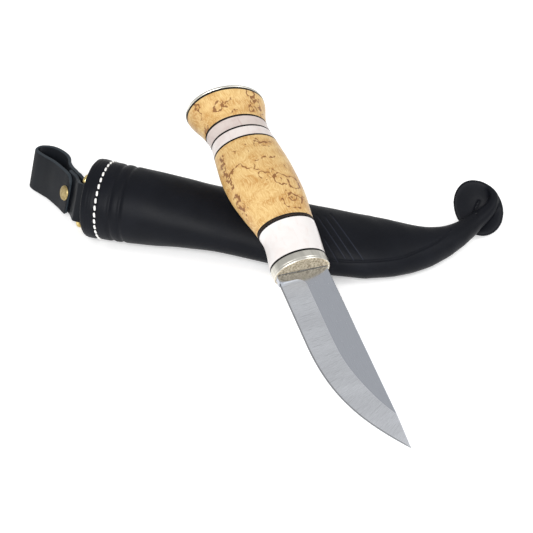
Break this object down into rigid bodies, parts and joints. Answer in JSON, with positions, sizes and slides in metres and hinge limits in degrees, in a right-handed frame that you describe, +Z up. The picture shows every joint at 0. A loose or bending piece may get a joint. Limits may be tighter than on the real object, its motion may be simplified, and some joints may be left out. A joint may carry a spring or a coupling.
{
  "type": "whittling knife",
  "caption": "Fixed-blade whittling knife with a stacked birch and antler handle, lying across its black leather sheath with belt loop.",
  "frame": {"origin": "middle of the whole set's bounding box in plan, on the surface it lies on", "axes": "+X along the sheath from its mouth to its tail, +Y across the sheath towards the knife's butt, +Z up"},
  "size_m": [0.235, 0.1662, 0.0701],
  "materials": {
    "blade_steel": "ground and satin polished",
    "nickel_silver": "polished band, cast-textured face",
    "black_fibre": "sanded flush",
    "brown_spacer": "woven-looking, sanded flush",
    "antler": "polished",
    "curly_birch": "oiled and polished",
    "black_leather": "dyed black, semi-matt",
    "liner_wood": "raw",
    "waxed_thread": "waxed",
    "black_thread": "waxed",
    "brass": "polished"
  },
  "bodies": {
    "sheath": {"sheath_leather": "black_leather", "sheath_liner_front": "liner_wood", "sheath_liner_back": "liner_wood", "hem_thread": "waxed_thread", "back_seam_thread": "black_thread", "ring_keeper": "black_leather"},
    "ring": {"d_ring": "brass"},
    "strap": {"belt_strap": "black_leather", "rivet_cap": "brass", "rivet_post": "brass"},
    "knife": {"blade": "blade_steel", "bolster": "nickel_silver", "butt_cap": "nickel_silver", "liner_bolster": "black_fibre", "liner_front_a": "black_fibre", "liner_front_b": "black_fibre", "liner_grip_rear": "black_fibre", "liner_rings": "black_fibre", "liner_pommel": "black_fibre", "liner_butt": "black_fibre", "spacer_front": "brown_spacer", "antler_front": "antler", "antler_ring_front": "antler", "antler_ring_rear": "antler", "birch_grip": "curly_birch", "birch_pommel": "curly_birch"}
  },
  "joints": [
    {"name": "knife_lift", "type": "slide", "parent": "sheath", "child": "knife", "axis": [0, 0, 1], "range_m": [0, 0.1]},
    {"name": "ring_swing", "type": "hinge", "parent": "sheath", "child": "ring", "pos_m": [-0.07501, 0.04607, 0.00594], "axis": [0.1, 0.3901, 0.9153], "range_deg": [-35, 4]},
    {"name": "strap_swing", "type": "hinge", "parent": "ring", "child": "strap", "pos_m": [-0.07883, 0.02732, 0.01435], "axis": [0.1, 0.3901, 0.9153], "range_deg": [-8, 50]}
  ]
}
